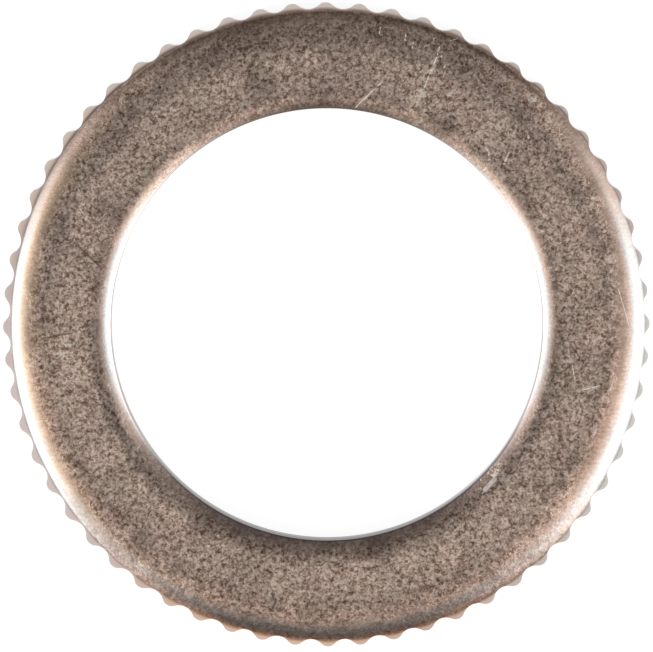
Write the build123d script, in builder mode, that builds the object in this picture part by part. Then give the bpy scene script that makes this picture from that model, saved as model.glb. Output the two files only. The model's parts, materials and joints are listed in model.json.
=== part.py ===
from build123d import *
from math import asin, cos, degrees, radians, sin, tan
import os

# Reducing ring for a circular saw blade. It presses into the blade's 30 mm hole
# and brings it down to a 20 mm arbor. One piece of steel strip, blanked and pierced
# in one stroke, so both edges of the upper face are drawn down in a die roll. The
# rim is then rolled with a straight knurl, whose rounded teeth bite in the blade.
#
# Millimetres and degrees. The origin is the middle of the bore on the face that the
# ring rests on, +Z runs up the bore, and one tooth crest lies on +X.

# --- Overall sizes ---
crest_diameter = 30.0
bore_diameter = 20.0
thickness = 1.8

# --- Knurl ---
teeth = 60
tooth_height = 0.35  # from the root of a valley out to a crest
crest_round = 0.40  # radius of the rounded crests

# --- Die roll round the bore: a wide arc from the flat face, then a tight one ---
bore_roll_width = 0.85
bore_roll_depth = 0.21
bore_edge_round = 0.07  # radius of the tight arc, which runs into the bore's wall

# --- Die roll round the rim: an ellipse that ends at a circle inside the valleys ---
rim_margin = 0.02  # from the roots of the valleys in to that circle
rim_roll_width = 1.7
rim_roll_depth = 0.30
rim_roll_end = 65.0  # how far round its quarter the ellipse has come when it ends

# --- Shoulder outside that circle, which slopes off the upper ends of the teeth ---
shoulder_slope = 54.0

# --- Broken edges of the underside ---
bore_break = 0.15
tooth_break = 0.20

# --- Making allowances ---
trim = 0.05  # the blank stands this far outside the crests, and the knurl cuts it off
least_land = 0.30  # flat face that stays between the two rolls on a narrow ring

# --- Radii from the bore axis ---
crest_radius = crest_diameter / 2
bore_radius = bore_diameter / 2
root_radius = crest_radius - tooth_height
rim_radius = root_radius - rim_margin
blank_radius = crest_radius + trim

# On a narrow ring the two rolls share the width that the wall leaves them.
roll_room = rim_radius - bore_radius - least_land
roll_fit = min(1, roll_room / (bore_roll_width + rim_roll_width))
bore_roll = bore_roll_width * roll_fit
rim_roll = rim_roll_width * roll_fit
bore_land = bore_radius + bore_roll
rim_land = rim_radius - rim_roll

# The tight arc at the bore touches the wide arc from inside. That gives the wide
# arc's radius, and the angle through which it turns before the tight one takes over.
bore_roll_round = (bore_roll**2 + bore_roll_depth**2 - 2 * bore_roll * bore_edge_round) / (
    2 * (bore_roll_depth - bore_edge_round)
)
bore_roll_turn = degrees(asin((bore_roll - bore_edge_round) / (bore_roll_round - bore_edge_round)))

# The rim's ellipse is larger than its roll, since only the first stretch is used.
ellipse_width = rim_roll / sin(radians(rim_roll_end))
ellipse_height = rim_roll_depth / (1 - cos(radians(rim_roll_end)))
rim_z = thickness - rim_roll_depth
shoulder_z = rim_z - (blank_radius - rim_radius) * tan(radians(shoulder_slope))

# Each valley is an arc that touches the crest arcs on both sides of it. The law of
# cosines on the centres of two neighbouring arcs gives its radius.
half_pitch = 180 / teeth
crest_centre = crest_radius - crest_round
centre_drop = crest_centre * cos(radians(half_pitch))
valley_round = (
    crest_centre**2 + root_radius**2 - 2 * root_radius * centre_drop - crest_round**2
) / (2 * (centre_drop + crest_round - root_radius))
valley_centre = root_radius + valley_round


def at_angle(radius, angle):
    """The point this far out from the bore axis, at this angle from +X."""
    return Vector(radius * cos(radians(angle)), radius * sin(radians(angle)))


def touch_point(crest_angle, valley_angle):
    """Where a crest's arc meets the arc of the valley beside it."""
    crest = at_angle(crest_centre, crest_angle)
    valley = at_angle(valley_centre, valley_angle)
    return crest + (valley - crest) * (crest_round / (crest_round + valley_round))


with BuildPart() as ring:
    # The blank. Its section runs in along the flat land, over the roll and down the
    # bore's wall, out along the underside, up the rim and in over the shoulder and
    # the rim's roll, and is turned about the bore axis.
    with BuildSketch(Plane.XZ) as section:
        with BuildLine() as outline:
            Line((rim_land, thickness), (bore_land, thickness))
            wide_arc = JernArc((bore_land, thickness), (-1, 0), bore_roll_round, bore_roll_turn)
            tight_arc = JernArc(wide_arc @ 1, wide_arc % 1, bore_edge_round, 90 - bore_roll_turn)
            Line(tight_arc @ 1, (bore_radius, bore_break))
            Line((bore_radius, bore_break), (bore_radius + bore_break, 0))
            Line((bore_radius + bore_break, 0), (crest_radius - tooth_break, 0))
            Line((crest_radius - tooth_break, 0), (blank_radius, tooth_break + trim))
            Line((blank_radius, tooth_break + trim), (blank_radius, shoulder_z))
            Line((blank_radius, shoulder_z), (rim_radius, rim_z))
            EllipticalCenterArc(
                (rim_land, thickness - ellipse_height),
                ellipse_width,
                ellipse_height,
                start_angle=90 - rim_roll_end,
                arc_size=rim_roll_end,
            )
        make_face()
    revolve(axis=Axis.Z)

    # The knurl. The outline of the teeth, crest and valley arcs in turn, runs right
    # through the blank, and what lies outside it goes. So the crests run out in the
    # shoulder above and in the broken edge below.
    with BuildSketch(Plane.XY) as knurl:
        with BuildLine() as tooth_line:
            for tooth in range(teeth):
                crest_angle = 2 * half_pitch * tooth
                valley_angle = crest_angle + half_pitch
                next_crest_angle = crest_angle + 2 * half_pitch
                flank_start = touch_point(crest_angle, crest_angle - half_pitch)
                flank_end = touch_point(crest_angle, valley_angle)
                next_start = touch_point(next_crest_angle, valley_angle)
                ThreePointArc(flank_start, at_angle(crest_radius, crest_angle), flank_end)
                ThreePointArc(flank_end, at_angle(root_radius, valley_angle), next_start)
        make_face()
    extrude(amount=thickness, mode=Mode.INTERSECT)

ring.part.label = "ring"

os.makedirs("parts", exist_ok=True)
export_step(ring.part, "parts/ring.step")
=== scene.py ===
import json
import math

import bpy
import numpy as np
from mathutils import Matrix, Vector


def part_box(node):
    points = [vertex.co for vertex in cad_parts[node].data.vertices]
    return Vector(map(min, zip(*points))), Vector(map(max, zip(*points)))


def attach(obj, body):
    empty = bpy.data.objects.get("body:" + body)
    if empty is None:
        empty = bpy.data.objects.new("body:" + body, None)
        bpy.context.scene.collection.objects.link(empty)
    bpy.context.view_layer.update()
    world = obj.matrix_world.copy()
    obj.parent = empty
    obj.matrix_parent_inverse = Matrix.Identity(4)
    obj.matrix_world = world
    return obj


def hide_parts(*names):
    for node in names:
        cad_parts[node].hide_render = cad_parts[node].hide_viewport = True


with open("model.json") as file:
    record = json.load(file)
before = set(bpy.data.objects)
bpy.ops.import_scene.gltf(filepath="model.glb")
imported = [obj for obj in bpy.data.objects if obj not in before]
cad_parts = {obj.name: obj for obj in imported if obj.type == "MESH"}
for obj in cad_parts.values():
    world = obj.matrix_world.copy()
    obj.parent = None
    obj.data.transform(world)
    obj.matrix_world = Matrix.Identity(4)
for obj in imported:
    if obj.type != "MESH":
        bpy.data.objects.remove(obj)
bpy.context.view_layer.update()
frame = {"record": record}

# A reducing ring for a saw blade, which lies on a pale floor. Shapes are in metres, in the
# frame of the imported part: the ring rests on z = 0, the bore runs up +Z, and +X goes through
# the crest of a tooth. The finish of the metal is worked out in millimetres.

MM = 0.001

_, ring_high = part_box("ring")
crest_radius = ring_high[0]
thickness = ring_high[2]
bore_mount = next(mount for mount in frame["record"]["mounts"] if mount["name"] == "bore")
bore_radius = bore_mount["dims"]["r_mm"] * MM


def direction(azimuth, off_zenith):
    """Unit vector at that azimuth from +X and that angle from straight up, in degrees."""
    azimuth, off_zenith = math.radians(azimuth), math.radians(off_zenith)
    return np.array([math.sin(off_zenith) * math.cos(azimuth),
                     math.sin(off_zenith) * math.sin(azimuth),
                     math.cos(off_zenith)])


# ---------------------------------------------------------------- camera

camera_distance = 380 * MM
camera_back = direction(86.2, 3.85)  # from the aim to the camera
frame_up = direction(89.7, 90)
framed_width = 30.26 * MM  # what the frame takes in from side to side, at the aim
aim = np.array([0.0, -0.048, 1.0]) * MM


def make_camera():
    """A long lens, which looks down on the ring from a few degrees off its axis."""
    data = bpy.data.cameras.new("camera")
    data.sensor_width = 36.0
    data.lens = data.sensor_width * camera_distance / framed_width
    data.clip_start = 0.05
    data.clip_end = 20.0
    right = np.cross(frame_up, camera_back)
    right /= np.linalg.norm(right)
    up = np.cross(camera_back, right)
    turn = Matrix(np.column_stack([right, up, camera_back]).tolist())
    camera = bpy.data.objects.new("camera", data)
    camera.location = aim + camera_back * camera_distance
    camera.rotation_mode = "QUATERNION"
    camera.rotation_quaternion = turn.to_quaternion()
    bpy.context.scene.collection.objects.link(camera)
    bpy.context.scene.camera = camera


make_camera()


# ---------------------------------------------------------------- the ring's surface

teeth = 60
tooth_height = 0.35 * MM
crest_round = 0.40 * MM
valley_rim_line = 14.64 * MM  # radius at which the shoulder begins, in the valleys
crest_rim_line = 14.68 * MM  # and at the crests
least_shoulder = 0.01 * MM  # width
shoulder_end = math.tan(math.radians(60))  # how steep the shoulder is at its foot
rim_land = 12.90 * MM
rim_roll_width = 1.70 * MM
rim_roll_depth = 0.30 * MM
rim_roll_end = math.radians(65)
bore_roll_width = 0.85 * MM
bore_roll_depth = 0.21 * MM
bore_edge_round = 0.07 * MM
bore_break = 0.15 * MM
tooth_break = 0.20 * MM

bore_off_centre = np.array([0.022, 0.055]) * MM

# How uneven the knurl is: how far a tooth typically leans to one side, in degrees, and the
# most by which it is lower than the teeth beside it, in mm.
knurl_seed = 11
tooth_lean = 0.10
tooth_wear = 0.02

root_radius = crest_radius - tooth_height
bore_land = bore_radius + bore_roll_width
half_pitch = math.pi / teeth
around = teeth * 20  # steps round the ring


def tooth_outline(angle):
    """Radius of the even knurl at each angle from +X.

    The angle is folded onto one tooth. Near the crest the radius is where the ray meets the
    far side of the crest's circle, and nearer the valley it is where the ray meets the near
    side of the valley's circle. The two circles touch, so the outline has no corner.
    """
    crest_centre = crest_radius - crest_round
    drop = crest_centre * math.cos(half_pitch)
    valley_round = (crest_centre**2 + root_radius**2 - 2 * root_radius * drop - crest_round**2) / (
        2 * (drop + crest_round - root_radius))
    valley_centre = root_radius + valley_round
    share = crest_round / (crest_round + valley_round)
    touch_x = crest_centre + (valley_centre * math.cos(half_pitch) - crest_centre) * share
    touch_y = valley_centre * math.sin(half_pitch) * share
    touch_angle = math.atan2(touch_y, touch_x)

    from_crest = np.abs((angle + half_pitch) % (2 * half_pitch) - half_pitch)
    from_valley = half_pitch - from_crest
    under_root = np.maximum(crest_round**2 - (crest_centre * np.sin(from_crest))**2, 0)
    crest = crest_centre * np.cos(from_crest) + np.sqrt(under_root)
    under_root = np.maximum(valley_round**2 - (valley_centre * np.sin(from_valley))**2, 0)
    valley = valley_centre * np.cos(from_valley) - np.sqrt(under_root)
    return np.where(from_crest < touch_angle, crest, valley)


def round_the_ring(angle, degrees, values):
    """Values given at a few azimuths, with smooth steps between them, read at each angle.

    Between two azimuths the value goes over as 3t^2 - 2t^3, where t runs from 0 to 1.
    """
    wide = np.concatenate([np.array(degrees) - 360, degrees, np.array(degrees) + 360])
    values = np.tile(values, 3)
    azimuth = np.degrees(angle) % 360
    before = np.searchsorted(wide, azimuth, side="right") - 1
    t = (azimuth - wide[before]) / (wide[before + 1] - wide[before])
    t = t * t * (3 - 2 * t)
    return values[before] + (values[before + 1] - values[before]) * t


def worn_outline(angle):
    """Radius of the knurl as it came off the roll, a little uneven, and how far up its tooth
    each point is, from 0 at a root to 1 at a crest.

    Each tooth stands a little to one side of its place and has its own height. The whole
    knurl is lower on the +Y side. The crests never pass the crest radius.
    """
    rng = np.random.default_rng(knurl_seed)
    places = np.arange(teeth) * 360 / teeth

    # Lean in degrees, then how much lower the crests and the valleys are, in mm.
    lean = round_the_ring(angle, places, rng.normal(0, tooth_lean, teeth))
    lean = lean + round_the_ring(angle, [0, 70, 145, 230, 290], [0.05, -0.2, -0.1, 0.1, 0.05])
    low = round_the_ring(angle, places, rng.uniform(0, tooth_wear, teeth))
    low = low + round_the_ring(angle, [20, 75, 110, 150, 230, 270, 310],
                               [0.05, 0.055, 0.035, 0.0, 0.0, 0.03, 0.0])
    deep = round_the_ring(angle, [0, 60, 145, 180, 230, 270, 310],
                          [-0.01, 0.005, 0.015, -0.01, 0.01, 0.055, 0.02])

    even = tooth_outline(angle - np.radians(lean))
    share = (even - root_radius) / tooth_height
    return even - (low * share + deep * (1 - share)) * MM, share


def along(start, end, count):
    """count points from start up to, but not including, end."""
    return [start + (end - start) * s for s in np.arange(count) / count]


def section(angle):
    """The ring's section at each angle, as a closed run of (radius, height) points.

    It goes in over the top and down the bore, out under the ring and up the rim. The result
    has the shape (points, angles, 2).
    """
    outline, share = worn_outline(angle)
    ones = np.ones_like(outline)
    shift = bore_off_centre[0] * np.cos(angle) + bore_off_centre[1] * np.sin(angle)

    def point(radius, height):
        return np.stack([radius * ones, height * ones], axis=-1)

    def bore_point(radius, height):
        return point(radius + shift, height)

    run = along(point(rim_land, thickness), bore_point(bore_land, thickness), 6)

    # Bore roll: a wide arc that turns down from the flat, then a tight one into the wall.
    wide = (bore_roll_width**2 + bore_roll_depth**2 - 2 * bore_roll_width * bore_edge_round) / (
        2 * (bore_roll_depth - bore_edge_round))
    turn = math.asin((bore_roll_width - bore_edge_round) / (wide - bore_edge_round))
    for a in np.linspace(0, turn, 12, endpoint=False):
        run.append(bore_point(bore_land - wide * math.sin(a),
                              thickness - wide * (1 - math.cos(a))))
    for a in np.linspace(turn, math.pi / 2, 8, endpoint=False):
        run.append(bore_point(bore_radius + bore_edge_round * (1 - math.sin(a)),
                              thickness - bore_roll_depth + bore_edge_round * math.cos(a)))

    # The wall, and the rounded break at its lower end.
    wall_top = bore_point(bore_radius, thickness - bore_roll_depth)
    run += along(wall_top, bore_point(bore_radius, bore_break), 4)
    for a in np.linspace(0, math.pi / 2, 4, endpoint=False):
        run.append(bore_point(bore_radius + bore_break * (1 - math.cos(a)),
                              bore_break * (1 - math.sin(a))))

    # Underside and the broken lower ends of the teeth.
    break_start = crest_radius - tooth_break
    under_end = point(np.minimum(outline, break_start), 0)
    break_top = point(outline, np.maximum(outline - break_start, 0))
    run += along(bore_point(bore_radius + bore_break, 0), under_end, 4)
    run += along(under_end, break_top, 2)

    # Rim roll: an ellipse, which ends a little further out at the crests than in the valleys.
    # It is a little wider on the +X side and narrower on the -X and +Y sides.
    ellipse_width = rim_roll_width / math.sin(rim_roll_end)
    ellipse_height = rim_roll_depth / (1 - math.cos(rim_roll_end))
    wider = round_the_ring(angle, [0, 30, 90, 180, 240, 300, 330],
                           [0.09, 0.06, -0.06, -0.08, -0.04, 0.0, 0.05])
    stretch = 1 + wider * MM / (valley_rim_line - rim_land)
    rim_line = valley_rim_line + (crest_rim_line - valley_rim_line) * share
    rim_line = np.minimum(rim_land + (rim_line - rim_land) * stretch, outline - least_shoulder)
    roll_end = np.arcsin((rim_line - rim_land) / (ellipse_width * stretch))
    roll = [point(rim_land + ellipse_width * stretch * np.sin(a),
                  thickness - ellipse_height * (1 - np.cos(a)))
            for a in (roll_end * s for s in np.linspace(1, 0, 24, endpoint=False))]

    # Shoulder: a parabola that goes on from the roll's slope and steepens to the outline.
    beyond = outline - rim_line
    roll_slope = ellipse_height / (ellipse_width * stretch) * np.tan(roll_end)
    bend = point(rim_line + 0.5 * beyond, roll[0][..., 1] - 0.5 * beyond * roll_slope)
    foot = point(outline, bend[..., 1] - 0.5 * beyond * shoulder_end)
    run += along(break_top, foot, 6)
    for t in np.linspace(0, 1, 12, endpoint=False):
        run.append((1 - t)**2 * foot + 2 * t * (1 - t) * bend + t**2 * roll[0])
    run += roll
    return np.array(run)


def make_ring():
    """The whole ring as one closed grid: its section by the angle round the bore axis."""
    angle = np.arange(around) * (2 * math.pi / around)
    run = section(angle)
    points = run.shape[0]
    radius, height = run[..., 0], run[..., 1]
    corners = np.stack([radius * np.cos(angle), radius * np.sin(angle), height], axis=-1)

    row, column = np.meshgrid(np.arange(points), np.arange(around), indexing="ij")
    next_row, next_column = (row + 1) % points, (column + 1) % around
    quads = np.stack([row * around + column, row * around + next_column,
                      next_row * around + next_column, next_row * around + column], axis=-1)

    mesh = bpy.data.meshes.new("knurled_ring")
    mesh.vertices.add(points * around)
    mesh.vertices.foreach_set("co", corners.ravel())
    mesh.loops.add(quads.size)
    mesh.loops.foreach_set("vertex_index", quads.ravel().astype(np.int32))
    mesh.polygons.add(points * around)
    mesh.polygons.foreach_set("loop_start", np.arange(0, quads.size, 4, dtype=np.int32))
    mesh.polygons.foreach_set("use_smooth", np.ones(points * around, dtype=bool))
    mesh.update(calc_edges=True)
    mesh.validate()
    piece = bpy.data.objects.new("knurled_ring", mesh)
    bpy.context.scene.collection.objects.link(piece)
    return piece


# ---------------------------------------------------------------- shader nodes

class Nodes:
    """A node tree, with one short call for each kind of node."""

    def __init__(self, tree):
        self.nodes, self.links = tree.nodes, tree.links

    def add(self, kind, inputs, output=0, **settings):
        node = self.nodes.new(kind)
        for name, value in settings.items():
            setattr(node, name, value)
        for name, value in inputs.items():
            if isinstance(value, bpy.types.NodeSocket):
                self.links.new(value, node.inputs[name])
            else:
                node.inputs[name].default_value = value
        return None if output is None else node.outputs[output]

    def math(self, operation, *values):
        return self.add("ShaderNodeMath", dict(enumerate(values)), operation=operation)

    def product(self, first, *rest):
        """All the values multiplied together."""
        for value in rest:
            first = self.math("MULTIPLY", first, value)
        return first

    def most(self, first, *rest):
        """The greatest of several values."""
        for value in rest:
            first = self.math("MAXIMUM", first, value)
        return first

    def off_one(self, value):
        """1 minus the value."""
        return self.math("SUBTRACT", 1.0, value)

    def vector(self, operation, *values, output="Vector"):
        return self.add("ShaderNodeVectorMath", dict(enumerate(values)), output,
                        operation=operation)

    def length(self, vector):
        return self.vector("LENGTH", vector, output="Value")

    def distance(self, first, second):
        return self.vector("DISTANCE", first, second, output="Value")

    def split(self, vector):
        node = self.nodes.new("ShaderNodeSeparateXYZ")
        self.links.new(vector, node.inputs[0])
        return list(node.outputs)

    def noise(self, where, size, detail=2.0, roughness=0.5, distortion=0.0):
        """Cloudy noise whose lumps are about this size. It runs from about 0 to 1."""
        return self.add("ShaderNodeTexNoise",
                        {"Vector": where, "Scale": 1 / size, "Detail": detail,
                         "Roughness": roughness, "Distortion": distortion}, "Fac")

    def spread(self, value, low, high, to_low=0.0, to_high=1.0, smooth=False):
        """Stretch low..high to to_low..to_high and hold it there outside."""
        return self.add("ShaderNodeMapRange",
                        {"Value": value, "From Min": low, "From Max": high, "To Min": to_low,
                         "To Max": to_high},
                        interpolation_type="SMOOTHSTEP" if smooth else "LINEAR",
                        clamp=not smooth)

    def band(self, value, start, full, wane, end, smooth=False):
        """0 up to start, 1 from full to wane, and 0 again past end."""
        return self.math("MULTIPLY", self.spread(value, start, full, smooth=smooth),
                         self.spread(value, end, wane, smooth=smooth))

    def curve(self, value, reach, points):
        """A curve through points of (value, result), for values from 0 to reach."""
        node = self.nodes.new("ShaderNodeFloatCurve")
        node.inputs["Factor"].default_value = 1.0
        line = node.mapping.curves[0].points
        while len(line) < len(points):
            line.new(0.5, 0.5)
        for point, (at, result) in zip(line, points):
            point.location = (at / reach, result)
            point.handle_type = "AUTO_CLAMPED"
        node.mapping.update()
        self.links.new(self.math("DIVIDE", value, reach), node.inputs["Value"])
        return node.outputs[0]

    def ramp(self, value, low, high, stops):
        """A run of colours, from stops of (value, colour)."""
        node = self.nodes.new("ShaderNodeValToRGB")
        line = node.color_ramp.elements
        while len(line) < len(stops):
            line.new(1.0)
        for element, (at, colour) in zip(line, stops):
            element.position = (at - low) / (high - low)
            element.color = (*colour, 1.0)
        self.links.new(self.spread(value, low, high), node.inputs[0])
        return node.outputs[0]

    def grey(self, value):
        """The colour that is this light."""
        return self.add("ShaderNodeCombineColor", {0: value, 1: value, 2: value})

    def blend(self, share, first, second, how="MIX"):
        """Go from the first colour to the second, or to the first times the second."""
        node = self.nodes.new("ShaderNodeMix")
        node.data_type = "RGBA"
        node.blend_type = how
        for name, value in ((0, share), (6, first), (7, second)):
            if isinstance(value, bpy.types.NodeSocket):
                self.links.new(value, node.inputs[name])
            else:
                node.inputs[name].default_value = value if name == 0 else (*value, 1.0)
        return node.outputs[2]

    def stroke(self, where, start, end, half_width):
        """1 in the core of a straight mark from start to end, and 0 past its half width.

        The core is three tenths as wide as the mark.
        """
        start, end = np.array([*start, 0.0]), np.array([*end, 0.0])
        run = end - start
        from_start = self.vector("SUBTRACT", where, tuple(start))
        along = self.vector("DOT_PRODUCT", from_start, tuple(run / (run @ run)), output="Value")
        along = self.math("MINIMUM", self.math("MAXIMUM", along, 0.0), 1.0)
        nearest = self.add("ShaderNodeVectorMath", {0: tuple(run), "Scale": along},
                           operation="SCALE")
        off = self.distance(from_start, nearest)
        return self.spread(off, half_width, 0.3 * half_width, smooth=True)

    def strokes(self, where, marks):
        """1 in the core of any of the marks.

        Each mark joins the rest as soon as it is made, and nothing in stroke is clamped by
        its node's own switch, because the renderer can hold only so many values at once.
        """
        drawn = 0.0
        for mark in marks:
            drawn = self.math("MAXIMUM", self.stroke(where, *mark), drawn)
        return drawn


# ---------------------------------------------------------------- the metal

# Sizes of the grain's lumps and of the finish's other lumps, in mm.
fine_size = 0.125
coarse_size = 0.26
wander_size = 0.9
cloud_size = 3.0
blotch_size = 0.55
cast_size = 1.2
streak_width = 0.12

grain_relief = 0.013 * MM

# Colour of the plate on the flat face.
plate = np.array([0.612, 0.463, 0.378])
green_cast = (0.98, 1.0, 0.98)
pink_cast = (1.02, 1.0, 1.01)

# Painted highlight on the rolls at the two sides: a neutral colour where the side lights
# whiten the plate, and a paler one where they are brightest.
whitened_highlight = (0.475, 0.463, 0.450)
brightest_highlight = (0.60, 0.59, 0.58)

# Tints of parts of the rim's roll, as shares of its colour: less orange, painted shade,
# a painted warm fringe at the edge of a side light's highlight, and a painted highlight.
less_orange = (0.66, 0.80, 0.92)
painted_shade_tint = (0.86, 0.86, 0.86)
warm_fringe_tint = (0.82, 0.81, 0.74)
painted_highlight_tint = (1.25, 1.23, 1.22)

# How the plate's colour runs from the bore to the rim, on the +Y side and on the -Y side:
# radius in mm, how light it is, how red and how blue. Besides the plate's own darker rings,
# the runs paint the shade and warm light that the rolls catch, which differ on the two sides.
upper_tone_and_shade = [(10.05, 1.06, 0.97, 1.03), (10.30, 1.02, 1.05, 0.98), (10.55, 0.88, 1.04, 0.98),
                (10.85, 0.82, 1.00, 1.00), (11.15, 1.00, 1.00, 1.00), (11.60, 1.00, 1.00, 1.00),
                (12.50, 1.00, 1.00, 1.00), (13.00, 0.82, 0.99, 1.01), (13.40, 0.86, 1.00, 1.02),
                (13.90, 1.00, 1.02, 1.00), (14.30, 1.00, 1.04, 0.98), (14.45, 1.00, 1.06, 0.97),
                (14.60, 0.95, 1.08, 0.97)]
lower_tone_and_shade = [(10.05, 1.00, 1.00, 1.12), (10.30, 0.98, 1.02, 1.00), (10.55, 0.67, 1.00, 1.02),
                (10.85, 0.68, 1.00, 1.00), (11.15, 1.00, 1.00, 1.00), (11.60, 1.00, 1.00, 1.00),
                (12.60, 1.00, 1.00, 1.00), (13.05, 0.83, 1.02, 0.99), (13.60, 0.95, 1.07, 0.98),
                (13.90, 0.98, 1.03, 1.00), (14.12, 0.90, 0.93, 1.08), (14.35, 0.92, 0.96, 1.06),
                (14.48, 1.02, 1.18, 0.96), (14.60, 1.05, 1.32, 0.80)]

# The grain: colour of the deepest pits as a share of the plate's, then each step up from
# there, with the two grain values between which it comes in. The top of the grain is lighter
# than the plate, which a ramp can't hold.
pit_colour = (0.28, 0.20, 0.17)
grain_steps = [(0.28, 0.38, (0.43, 0.37, 0.34)), (0.38, 0.50, (0.99, 0.97, 0.955)),
               (0.50, 0.62, (1.48, 1.58, 1.66)), (0.62, 0.74, (1.68, 1.86, 2.02))]

# Colour of the teeth by azimuth in degrees, with the light and shade that they catch on each
# side painted in: where the shoulder begins, and at the crests. Then the plain colour of their
# lower ends.
lit_foot_colours = [(0, (0.68, 0.64, 0.62)), (20, (0.42, 0.34, 0.31)), (45, (0.22, 0.17, 0.14)),
                (90, (0.30, 0.22, 0.19)), (135, (0.16, 0.115, 0.095)),
                (160, (0.36, 0.295, 0.275)), (180, (0.56, 0.48, 0.465)),
                (225, (0.55, 0.46, 0.43)), (250, (0.44, 0.25, 0.145)), (288, (0.44, 0.25, 0.155)),
                (315, (0.52, 0.44, 0.40)), (340, (0.67, 0.63, 0.60)), (360, (0.68, 0.64, 0.62))]
lit_tooth_colours = [(0, (0.58, 0.55, 0.53)), (24, (0.44, 0.34, 0.315)), (48, (0.46, 0.40, 0.365)),
                 (90, (0.52, 0.455, 0.41)), (120, (0.51, 0.43, 0.385)),
                 (144, (0.54, 0.425, 0.345)), (168, (0.50, 0.385, 0.33)),
                 (192, (0.58, 0.475, 0.455)), (216, (0.56, 0.485, 0.455)),
                 (240, (0.56, 0.39, 0.30)), (264, (0.59, 0.435, 0.34)), (288, (0.50, 0.36, 0.29)),
                 (312, (0.50, 0.42, 0.365)), (336, (0.57, 0.54, 0.51)), (360, (0.58, 0.55, 0.53))]
low_tooth_colour = (0.54, 0.47, 0.425)

# How much further out the foot's colour, with its painted shade, reaches, in mm by azimuth.
wide_feet = [(0, 0.00), (25, 0.05), (45, 0.09), (70, 0.04), (90, 0.00), (150, 0.00), (170, 0.03),
             (190, 0.00), (230, 0.02), (290, 0.03), (310, 0.00), (360, 0.00)]

# Painted light and shade on the bore's wall: how light it is, by azimuth in degrees, and its
# colour at full light.
wall_painted_light = [(0, 0.60), (40, 0.60), (60, 0.34), (120, 0.34), (140, 0.60), (185, 0.60),
              (210, 0.46), (235, 0.38), (255, 0.34), (288, 0.34), (305, 0.46), (320, 0.88),
              (335, 0.70), (350, 0.60), (360, 0.60)]
wall_tint = np.array([1.0, 0.94, 0.92])

# The tight edge of the bore: a painted highlight at the two sides, and painted shade towards
# +Y and towards -Y.
highlit_edge = (0.74, 0.69, 0.65)
upper_shaded_edge = (0.60, 0.54, 0.51)
lower_shaded_edge = (0.32, 0.28, 0.275)

# Scratches and nicks, in mm: both ends and half the width. The first three are one scratch.
bright_marks = [((5.29, 12.90), (5.12, 12.32), 0.050), ((5.12, 12.32), (4.89, 11.82), 0.060),
                ((4.89, 11.82), (4.57, 10.99), 0.050), ((3.75, 13.57), (3.69, 13.20), 0.055),
                ((4.08, 13.11), (4.02, 12.86), 0.055), ((5.02, 13.27), (5.00, 13.21), 0.055),
                ((5.43, 12.46), (5.37, 12.43), 0.070), ((5.54, 12.03), (5.49, 11.90), 0.060),
                ((2.53, 11.20), (1.39, 10.10), 0.050), ((7.44, 8.14), (7.54, 8.02), 0.070),
                ((7.54, 8.02), (7.55, 7.68), 0.085), ((8.46, 7.98), (8.24, 7.47), 0.065),
                ((9.67, 4.52), (10.04, 4.33), 0.035), ((5.80, 13.14), (6.10, 13.25), 0.030),
                ((2.57, 13.80), (2.50, 13.50), 0.040), ((9.36, 8.76), (9.38, 8.64), 0.070),
                ((7.44, -6.85), (7.47, -6.89), 0.060), ((7.09, -7.16), (7.12, -7.20), 0.055),
                ((7.18, -7.80), (7.24, -7.74), 0.050), ((7.90, -6.88), (7.88, -6.94), 0.050),
                ((9.78, -6.78), (9.81, -6.79), 0.050), ((8.05, -8.64), (8.12, -8.68), 0.045),
                ((11.36, -1.84), (11.47, -2.53), 0.035), ((11.70, -3.06), (12.63, -2.83), 0.035),
                ((-5.54, -10.18), (-5.50, -10.20), 0.060),
                ((-4.15, -10.37), (-4.12, -10.35), 0.060),
                ((-5.08, -9.72), (-5.05, -9.70), 0.050), ((13.51, 1.64), (13.98, 0.00), 0.030)]

# Dark stains, in the same way.
dark_marks = [((-11.61, 3.91), (-10.45, 2.82), 0.080), ((-13.17, -0.51), (-11.87, -0.28), 0.060),
              ((11.29, -0.91), (11.71, -1.51), 0.050), ((7.78, -7.58), (7.95, -7.28), 0.110),
              ((3.47, 11.42), (3.22, 11.12), 0.050)]

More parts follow.
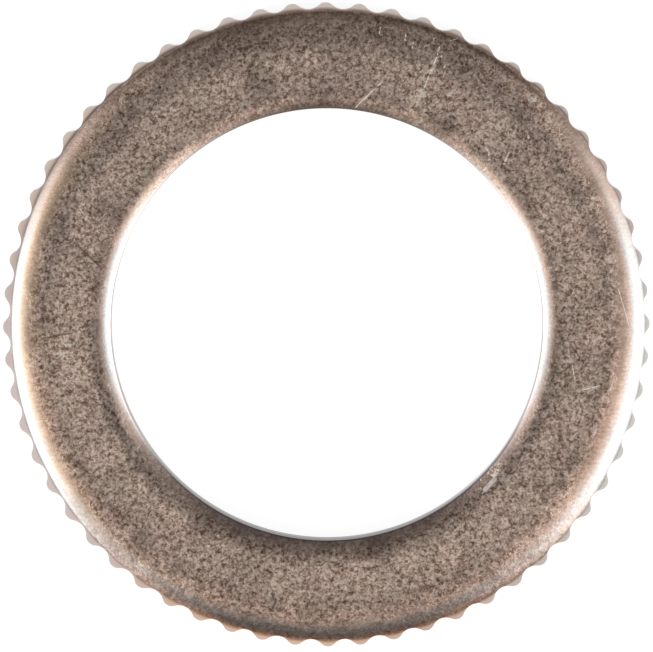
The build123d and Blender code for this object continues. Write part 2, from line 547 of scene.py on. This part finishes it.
# Patches where the face is made lighter or darker, partly the plate's own mottling and partly
# painted light and shade, in mm: the middle, how far they reach and how strong they are.
soft_patches = [((-12.6, -0.8), 1.20, 0.45), ((-11.6, -1.9), 1.10, 0.30),
                ((-9.4, -5.5), 1.10, 0.35), ((-10.4, -6.1), 1.10, 0.25),
                ((-8.8, -7.3), 0.90, 0.20), ((12.4, 2.8), 1.40, 0.35), ((11.5, 4.0), 1.10, 0.25),
                ((12.0, 5.4), 1.00, 0.25), ((12.7, -0.4), 1.10, 0.30), ((7.4, -7.7), 1.10, 0.20),
                ((5.7, -10.7), 1.00, 0.35), ((9.8, 4.1), 1.10, 0.20), ((7.3, 11.6), 0.80, 0.20),
                ((10.5, 2.6), 0.35, 0.45), ((-0.6, 12.4), 0.60, 0.35),
                ((-8.6, -10.2), 1.10, -0.35), ((-10.0, 5.4), 1.30, -0.35),
                ((-12.6, 4.8), 1.10, -0.25), ((5.4, 9.2), 1.10, -0.30),
                ((0.1, 10.7), 0.90, -0.30), ((-5.2, 12.4), 1.10, -0.30),
                ((2.4, -10.4), 1.20, -0.30), ((-5.8, -9.3), 1.20, -0.30),
                ((-2.7, -12.9), 1.00, -0.25), ((-3.0, 11.3), 1.30, -0.30),
                ((9.1, 9.9), 0.90, -0.22), ((-5.9, -12.4), 0.80, -0.20),
                ((8.4, -11.0), 1.00, 0.20), ((9.7, 10.6), 0.70, 0.30),
                ((11.9, -6.2), 0.90, -0.16), ((-11.9, -7.6), 0.70, 0.14),
                ((-8.7, -11.3), 0.80, 0.15), ((9.9, 5.1), 0.80, 0.26),
                ((-10.7, 0.0), 0.80, -0.20), ((6.5, -8.5), 0.60, 0.20),
                ((-9.0, 9.8), 0.60, -0.20), ((-9.1, -5.8), 0.60, 0.15),
                ((12.2, 6.3), 1.30, -0.30)]

# Soft light streaks beside the scratches, in mm: both ends, half the width and the strength.
soft_strokes = [((5.14, 12.36), (4.85, 11.74), 0.18, 0.50),
                ((4.47, 10.91), (4.22, 10.37), 0.20, 0.45),
                ((4.22, 10.37), (3.80, 9.83), 0.14, 0.35),
                ((5.67, 10.65), (5.98, 10.86), 0.10, 0.40),
                ((5.47, 11.53), (5.55, 11.73), 0.10, 0.40),
                ((5.77, 13.15), (5.97, 13.21), 0.08, 0.40),
                ((4.60, 12.90), (4.98, 13.11), 0.10, 0.28)]

# The plate is worn bright along a short stroke beside the bore, and scuffed next to it.
worn_stroke = ((7.70, -7.20), (7.38, -7.54), 0.19)
scuffed_middle = (7.78, -6.72, 0.0)
scuffed_reach = 0.60

scratch_colour = (0.88, 0.77, 0.68)
stain_colour = (0.16, 0.11, 0.085)
stain_strength = 0.75
scuffed_colour = (0.86, 0.74, 0.62)
scuffed_strength = 0.70
worn_colour = (0.98, 0.86, 0.83)

smooth_roughness = 0.16
pitted_roughness = 0.30
wall_roughness = 0.45
scratch_roughness = 0.66
scuffed_roughness = 0.60
worn_roughness = 0.42


class Plating(Nodes):
    """Nickel plate that has gone dull and brown in its pits, and is smoother on the rolls; light
    and shade that the rolls catch are painted into its colour.

    Everything is worked out in mm, from the place on the ring.
    """

    def __init__(self, tree):
        super().__init__(tree)
        self.mm = self.vector("MULTIPLY", self.add("ShaderNodeTexCoord", {}, "Object"),
                              (1 / MM, 1 / MM, 1 / MM))
        self.x, self.y, self.z = self.split(self.mm)
        self.place = self.vector("MULTIPLY", self.mm, (1, 1, 0))
        self.radius = self.length(self.place)
        bore_middle = (*bore_off_centre / MM, 0.0)
        self.from_bore = self.length(self.vector("SUBTRACT", self.place, bore_middle))

        # The pitted grain, in two sizes.
        self.fine = self.noise(self.mm, fine_size, 1.0, 0.6, 0.8)
        coarse = self.noise(self.mm, coarse_size, 1.0, 0.5, 0.5)
        self.grain = self.math("ADD", self.math("MULTIPLY", self.fine, 0.65),
                               self.math("MULTIPLY", coarse, 0.35))

        # A wander of up to a quarter of a millimetre, which makes edges ragged.
        self.wander = self.math("MULTIPLY_ADD", self.noise(self.mm, wander_size, 3.0), 0.5, -0.25)
        self.ragged = self.vector("ADD", self.place, self.add(
            "ShaderNodeCombineXYZ", {0: self.wander, 1: self.wander}))

        # Height on the face from -1 at -Y to 1 at +Y, and azimuth from +X in degrees.
        self.height = self.math("DIVIDE", self.y, self.radius)
        self.azimuth = self.math("ADD", 180.0, self.math("MULTIPLY", 180 / math.pi, self.math(
            "ARCTAN2", self.math("MULTIPLY", self.y, -1.0), self.math("MULTIPLY", self.x, -1.0))))

        # The two sides of the ring are at +X and -X, and the lower half is towards -Y.
        self.off_sides = self.spread(self.math("ABSOLUTE", self.height), 0.45, 0.85, smooth=True)
        self.on_sides = self.off_one(self.off_sides)
        self.lower = self.spread(self.height, 0.35, -0.35, smooth=True)
        self.wall = self.math("MULTIPLY", self.spread(self.from_bore, 10.03, 10.0),
                              self.spread(self.z, 1.60, 1.56))

        # Wear. Every mark is broken up by the fine grain.
        self.worn = self.stroke(self.ragged, *worn_stroke)
        scuffed = self.spread(self.distance(self.ragged, scuffed_middle),
                              scuffed_reach, 0.5 * scuffed_reach, smooth=True)
        self.scuffed = self.math("MULTIPLY", scuffed,
                                 self.spread(self.fine, 0.42, 0.60, 0.25, 1.0))
        self.scratched = self.math("MULTIPLY", self.strokes(self.place, bright_marks),
                                   self.spread(self.fine, 0.35, 0.6, 0.45, 1.0))
        self.pitted = self.pitting()

    def pitting(self):
        """How pitted the plate is, from 0 to 1.

        The two rolls are smoother than the flat face, above all at the two sides of the
        ring, and so is the worn spot beside the bore.
        """
        uneven = self.math("ADD", self.radius, self.wander)
        bore_sides = self.band(self.height, -0.5, -0.1, 0.70, 0.95)
        past_bore = self.spread(self.math("MULTIPLY_ADD", bore_sides, -0.22, uneven),
                                10.2, 10.6, smooth=True)
        southern = self.spread(self.y, -4.0, -9.0, smooth=True)
        western = self.spread(self.x, -4.0, -9.0, smooth=True)
        corner = self.spread(self.math("ADD", self.x, self.y), 14.5, 17.5)
        to_rim = self.math("MULTIPLY_ADD", self.off_sides,
                           self.math("MULTIPLY_ADD", southern, 0.35, -0.65), uneven)
        to_rim = self.math("MULTIPLY_ADD", western, -0.17, to_rim)
        to_rim = self.math("MULTIPLY_ADD", corner, -0.3, to_rim)
        before_rim = self.spread(to_rim, 13.75, 13.25, smooth=True)
        on_rolls = self.off_one(self.math("MULTIPLY", past_bore, before_rim))
        smoother = self.math("MULTIPLY", on_rolls, self.spread(self.off_sides, 0, 1, 0.88, 0.45))
        return self.math("MULTIPLY", self.off_one(smoother),
                         self.off_one(self.math("MULTIPLY", self.worn, 0.85)))

    def shades(self, radius, run):
        """The plate's colour by radius, with its painted shade, from one of the two runs."""
        return self.ramp(radius, 10.0, 15.0,
                         [(at, tuple(plate * light * np.array([red, 1.0, blue])))
                          for at, light, red, blue in run])

    def face(self):
        """Colour by radius with its painted shade, then clouds, blotches beside the rolls,
        patches, a painted highlight on the bore's roll at the two sides, and a pink or green cast."""
        radius = self.math("ADD", self.radius, self.math("MULTIPLY", self.wander, 0.5))
        colour = self.blend(self.lower, self.shades(radius, upper_tone_and_shade),
                            self.shades(radius, lower_tone_and_shade))
        clouds = self.spread(self.noise(self.mm, cloud_size, 4.0, 0.6), 0.3, 0.7, 0.80, 1.20)
        beside_rolls = self.most(self.spread(radius, 11.3, 10.8), self.spread(radius, 12.6, 13.1))
        blotches = self.spread(self.noise(self.mm, blotch_size, 2.0, 0.6), 0.50, 0.66, 0.0, 0.28)
        blotches = self.product(blotches, beside_rolls, self.pitted)

        # Each patch is at its full strength within a tenth of its reach.
        tone = 1.0
        for middle, reach, strength in soft_patches:
            off = self.distance(self.ragged, (*middle, 0.0))
            patch = self.spread(off, reach, 0.1 * reach, 0.0, strength, smooth=True)
            tone = self.math("ADD", tone, patch)
        for *mark, strength in soft_strokes:
            tone = self.math("MULTIPLY_ADD", self.stroke(self.ragged, *mark), strength, tone)
        # Painted highlight on the bore's roll at the two sides, where it catches the side lights.
        bore_roll_highlight = self.product(self.on_sides,
                                   self.band(self.radius, 10.22, 10.36, 10.46, 10.62))
        tone = self.math("MULTIPLY_ADD", bore_roll_highlight, 0.34, tone)

        light = self.product(clouds, self.off_one(blotches), tone)
        colour = self.blend(1.0, colour, self.grey(light), "MULTIPLY")
        cast = self.blend(self.spread(self.noise(self.mm, cast_size, 2.0), 0.35, 0.65),
                          green_cast, pink_cast)
        return self.blend(1.0, colour, cast, "MULTIPLY")

    def rolls(self, colour):
        """The rolls, painted lighter and darker by the light that they catch, and of another
        tint here and there.
        """
        # Towards +Y the outer end of the rim's roll is painted lighter, and its very edge gets
        # painted shade.
        northern = self.math("MULTIPLY", self.off_sides,
                             self.spread(self.y, 0.0, 4.0, smooth=True))
        rim_edge_shade = self.spread(self.height, 0.72, 0.92, 1.15, 0.62)
        rim_edge_light_and_shade = self.add("ShaderNodeMix", {
            0: self.spread(self.radius, 14.36, 14.52, smooth=True), 2: 1.26, 3: rim_edge_shade})
        at_edge = self.math("MULTIPLY", northern,
                            self.spread(self.radius, 13.90, 14.15, smooth=True))
        rim_edge_light_and_shade = self.math("MULTIPLY_ADD", at_edge,
                               self.math("SUBTRACT", rim_edge_light_and_shade, 1.0), 1.0)
        colour = self.blend(1.0, colour, self.grey(rim_edge_light_and_shade), "MULTIPLY")

        # Its end is less orange between the sides and -Y.
        sideways = self.math("ABSOLUTE", self.math("DIVIDE", self.x, self.radius))
        diagonal = self.product(self.lower, self.spread(self.radius, 14.40, 14.52, smooth=True),
                                self.band(sideways, 0.35, 0.55, 0.74, 0.84))
        colour = self.blend(diagonal, colour, less_orange, "MULTIPLY")

        # It gets painted shade at the upper ends of the two sides.
        upper_sides = self.product(self.on_sides, self.spread(self.y, 4.0, 6.5),
                                   self.spread(self.radius, 14.0, 14.15, smooth=True))
        colour = self.blend(upper_sides, colour, painted_shade_tint, "MULTIPLY")

        # At -X it gets the painted warm fringe of the side light's highlight, and at +X a painted
        # highlight.
        left = self.product(self.spread(self.x, 0.0, -8.0), self.on_sides,
                            self.band(self.radius, 13.25, 13.65, 14.1, 14.3, smooth=True))
        colour = self.blend(left, colour, warm_fringe_tint, "MULTIPLY")
        right = self.product(self.spread(self.x, 0.0, 8.0), self.on_sides,
                             self.spread(self.radius, 12.9, 13.5, smooth=True))
        colour = self.blend(right, colour, painted_highlight_tint, "MULTIPLY")

        # Painted highlight on both rolls at the two sides, where the side lights whiten the plate;
        # it is paler at -X, where they are brightest.
        rim_shift = self.math("MULTIPLY_ADD", self.spread(self.x, 2.0, -2.0), -0.15, self.radius)
        rim_whitened = self.spread(rim_shift, 13.95, 14.25, smooth=True)
        bore_shift = self.math("ADD", self.from_bore, self.spread(self.x, -2.0, 2.0, -0.04, 0.03))
        bore_whitened = self.math("MULTIPLY", self.spread(bore_shift, 10.54, 10.24, smooth=True),
                               self.spread(self.y, -4.5, -2.0, 0.1, 1.0))
        whitened = self.product(self.most(rim_whitened, bore_whitened), self.on_sides,
                             self.spread(self.y, 3.5, 6.5, 1.0, 0.3))
        brightest_spot = self.math("MULTIPLY", self.spread(self.radius, 14.42, 14.56, smooth=True),
                              self.spread(self.x, 0.0, -4.0))
        colour = self.blend(whitened, colour, self.blend(brightest_spot, whitened_highlight, brightest_highlight))

        # The rim's roll is finely streaked along X at the two sides.
        streaks = self.noise(self.vector("MULTIPLY", self.mm, (0.35, 1, 1)), streak_width, 2.0, 0.6)
        streaks = self.spread(streaks, 0.3, 0.7, 0.84, 1.16)
        streaked = self.math("MULTIPLY", self.on_sides,
                             self.band(self.radius, 13.1, 13.4, 13.9, 14.3))
        streaks = self.math("MULTIPLY_ADD", streaked, self.math("SUBTRACT", streaks, 1.0), 1.0)
        return self.blend(1.0, colour, self.grey(streaks), "MULTIPLY")

    def grained(self, colour):
        """In the pits it is dark and redder, and the grains between them are lighter."""
        share = pit_colour
        for low, high, lighter in grain_steps:
            share = self.blend(self.spread(self.grain, low, high), share, lighter)
        return self.blend(self.pitted, colour, share, "MULTIPLY")

    def marked(self, colour):
        """Scratches and stains, then the scuffed and the worn spot."""
        stained = self.strokes(self.place, dark_marks)
        colour = self.blend(self.scratched, colour, scratch_colour)
        colour = self.blend(self.product(stained, stain_strength), colour, stain_colour)
        colour = self.blend(self.product(self.scuffed, scuffed_strength), colour, scuffed_colour)
        worn_share = self.math("MULTIPLY", self.worn,
                               self.spread(self.fine, 0.38, 0.55, 0.45, 0.95))
        return self.blend(worn_share, colour, worn_colour)

    def toothed(self, colour):
        """Teeth and rim, from the top of the shoulder down, with light and shade painted in by
        azimuth.
        """
        foot = self.math("SUBTRACT", self.radius, self.curve(self.azimuth, 360, wide_feet))
        foot = self.spread(foot, 14.63, 14.79, smooth=True)
        lit_teeth_colour = self.blend(foot, self.ramp(self.azimuth, 0, 360, lit_foot_colours),
                                  self.ramp(self.azimuth, 0, 360, lit_tooth_colours))
        lit_teeth_colour = self.blend(self.spread(self.z, 1.25, 0.9, smooth=True), lit_teeth_colour,
                                  low_tooth_colour)
        shoulder = self.math("MULTIPLY", self.spread(self.z, 1.475, 1.44),
                             self.spread(self.radius, 14.0, 14.1))
        return self.blend(shoulder, colour, lit_teeth_colour)

    def bored(self, colour):
        """The tight edge of the bore, with its painted highlight and shade, and the wall under it,
        with its painted light by azimuth.
        """
        leaning = self.math("DIVIDE", self.math("MULTIPLY_ADD", self.x, -0.1, self.y), self.radius)
        shaded_side = self.most(self.off_sides, self.spread(leaning, -0.36, -0.66, smooth=True))
        edge = self.math("MULTIPLY", self.spread(self.from_bore, 10.10, 10.06),
                         self.spread(self.z, 1.56, 1.60))
        shaded_edge = self.blend(self.lower, upper_shaded_edge, lower_shaded_edge)
        colour = self.blend(edge, colour, self.blend(shaded_side, highlit_edge, shaded_edge))
        wall_shade = self.grey(self.spread(self.z, 1.45, 0.80, 0.38, 1.05))
        wall_lit_colours = self.ramp(self.azimuth, 0, 360,
                                 [(at, tuple(light * wall_tint)) for at, light in wall_painted_light])
        return self.blend(self.wall, colour, self.blend(1.0, wall_lit_colours, wall_shade, "MULTIPLY"))

    def bump(self):
        """The grain's relief, which is nearly gone where the plate is smooth."""
        depth = self.math("MULTIPLY", self.grain,
                          self.math("MULTIPLY_ADD", self.pitted, 0.9, 0.1))
        return self.add("ShaderNodeBump", {"Height": depth, "Strength": 1.0,
                                           "Distance": grain_relief}, "Normal")

    def roughness(self):
        return self.most(self.spread(self.pitted, 0, 1, smooth_roughness, pitted_roughness),
                         self.math("MULTIPLY", self.wall, wall_roughness),
                         self.math("MULTIPLY", self.scratched, scratch_roughness),
                         self.math("MULTIPLY", self.worn, worn_roughness),
                         self.math("MULTIPLY", self.scuffed, scuffed_roughness))


def make_metal():
    """The plated metal of the whole ring."""
    material = bpy.data.materials.new("nickel_plate")
    material.use_nodes = True
    shader = material.node_tree.nodes["Principled BSDF"]
    finish = Plating(material.node_tree)
    colour = finish.face()
    colour = finish.grained(finish.rolls(colour))
    colour = finish.marked(colour)
    colour = finish.bored(finish.toothed(colour))
    finish.links.new(colour, shader.inputs["Base Color"])
    finish.links.new(finish.bump(), shader.inputs["Normal"])
    finish.links.new(finish.roughness(), shader.inputs["Roughness"])
    shader.inputs["Metallic"].default_value = 1.0
    return material


ring = make_ring()
ring.data.materials.append(make_metal())
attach(ring, "root")
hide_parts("ring")


# ---------------------------------------------------------------- floor and world

floor_half_size = 6.0
floor_level = -0.01 * MM
floor_grey = 0.25
floor_glow = 0.87  # with the light that falls on the floor, this comes to white

# The studio's light by angle off the zenith in degrees: the two side lights at +X and at -X,
# as shares of their full strength, then the soft light from +Y and from -Y.
right_rise = [(0, 0.0), (13, 0.0), (19, 0.08), (24, 0.30), (30, 0.75), (36, 1.0), (50, 1.0),
              (60, 0.78), (70, 0.40), (80, 0.14), (90, 0.0)]
left_rise = [(0, 0.0), (13, 0.0), (19, 0.06), (24, 0.22), (30, 0.64), (36, 0.97), (50, 1.0),
             (60, 0.93), (70, 0.58), (80, 0.16), (90, 0.0)]
north_light = [(0, 0.30), (2, 0.24), (6, 0.18), (12, 0.16), (24, 0.14), (36, 0.11), (48, 0.11),
               (60, 0.26), (75, 0.56), (90, 0.85)]
south_light = [(0, 0.30), (4, 0.47), (8, 0.48), (24, 0.44), (32, 0.29), (40, 0.16), (50, 0.12),
               (66, 0.15), (80, 0.32), (90, 0.75)]
side_strength = 2.7
side_reach = (61, 6)  # degrees round from a side's middle at which it ends, and is full
right_azimuth = -15
left_azimuths = (193, 190, 196)  # high up, at middle height and low down


def make_floor():
    """A pale matt floor, which the camera and the metal see white, with the ring's shadow.

    It lies a hundredth of a millimetre under the ring, and from below it can be seen through.
    """
    size, level = floor_half_size, floor_level
    mesh = bpy.data.meshes.new("floor")
    mesh.from_pydata([(-size, -size, level), (size, -size, level),
                      (size, size, level), (-size, size, level)], [], [(0, 1, 2, 3)])
    floor = bpy.data.objects.new("floor", mesh)
    bpy.context.scene.collection.objects.link(floor)
    material = bpy.data.materials.new("pale_floor")
    material.use_nodes = True
    material.node_tree.nodes.clear()
    surface = Nodes(material.node_tree)
    path = surface.nodes.new("ShaderNodeLightPath")
    seen = surface.most(path.outputs["Is Camera Ray"], path.outputs["Is Glossy Ray"],
                        path.outputs["Is Transmission Ray"])
    matt = surface.add("ShaderNodeBsdfDiffuse", {"Color": (floor_grey,) * 3 + (1.0,)})
    glow = surface.add("ShaderNodeEmission", {"Strength": surface.product(seen, floor_glow)})
    solid = surface.add("ShaderNodeAddShader", {0: matt, 1: glow})
    behind = surface.add("ShaderNodeNewGeometry", {}, "Backfacing")
    clear = surface.add("ShaderNodeBsdfTransparent", {})
    shown = surface.add("ShaderNodeMixShader", {0: behind, 1: solid, 2: clear})
    surface.add("ShaderNodeOutputMaterial", {"Surface": shown}, None)
    mesh.materials.append(material)


def make_world():
    """Soft studio light from all round, brightest from the two sides.

    The light is worked out from the direction that it comes from: how far it is off the
    zenith, and how far it is round from the middle of each side. A mirror shows a value of 1
    as white. The camera sees plain white.
    """
    world = bpy.data.worlds.new("studio")
    bpy.context.scene.world = world
    world.use_nodes = True
    world.node_tree.nodes.clear()
    light = Nodes(world.node_tree)
    towards = light.add("ShaderNodeTexCoord", {}, "Generated")
    _, north_part, up_part = light.split(towards)
    zenith_angle = light.math("ARCCOSINE", up_part)
    off_zenith = light.math("DEGREES", zenith_angle)
    level = light.vector("NORMALIZE", light.vector("MULTIPLY", towards, (1, 1, 0)))

    def side(azimuth):
        """1 towards that azimuth, and less on both sides of it."""
        facing = light.vector("DOT_PRODUCT", level, tuple(direction(azimuth, 90)), output="Value")
        off = light.math("DEGREES", light.math("ARCCOSINE", facing))
        return light.spread(off, *side_reach, smooth=True)

    # The light at -X leans a little, so its middle is elsewhere at each height.
    high, middle, low = left_azimuths
    left = light.add("ShaderNodeMix", {0: light.spread(off_zenith, 35, 45), 2: side(high),
                                       3: side(middle)})
    left = light.add("ShaderNodeMix", {0: light.spread(off_zenith, 50, 62), 2: left,
                                       3: side(low)})
    sides = light.math("ADD", light.product(light.curve(off_zenith, 90, right_rise),
                                            side(right_azimuth)),
                       light.product(light.curve(off_zenith, 90, left_rise), left))

    # The soft light goes over from +Y to -Y with the level part of the direction.
    level_part = light.math("MAXIMUM", light.math("SINE", zenith_angle), 0.02)
    southward = light.spread(light.math("DIVIDE", north_part, level_part), 0.9, -0.9, smooth=True)
    soft = light.math("ADD", light.product(light.curve(off_zenith, 90, north_light),
                                           light.off_one(southward)),
                      light.product(light.curve(off_zenith, 90, south_light), southward))
    strength = light.math("ADD", soft, light.product(sides, side_strength))
    white = (1.0, 1.0, 1.0, 1.0)
    studio = light.add("ShaderNodeBackground", {"Color": white, "Strength": strength})
    backdrop = light.add("ShaderNodeBackground", {"Color": white})
    path = light.nodes.new("ShaderNodeLightPath")
    seen = light.most(path.outputs["Is Camera Ray"], path.outputs["Is Transmission Ray"])
    shown = light.add("ShaderNodeMixShader", {0: seen, 1: studio, 2: backdrop})
    light.add("ShaderNodeOutputWorld", {"Surface": shown}, None)


make_floor()
make_world()

bpy.context.scene.view_settings.view_transform = "Standard"
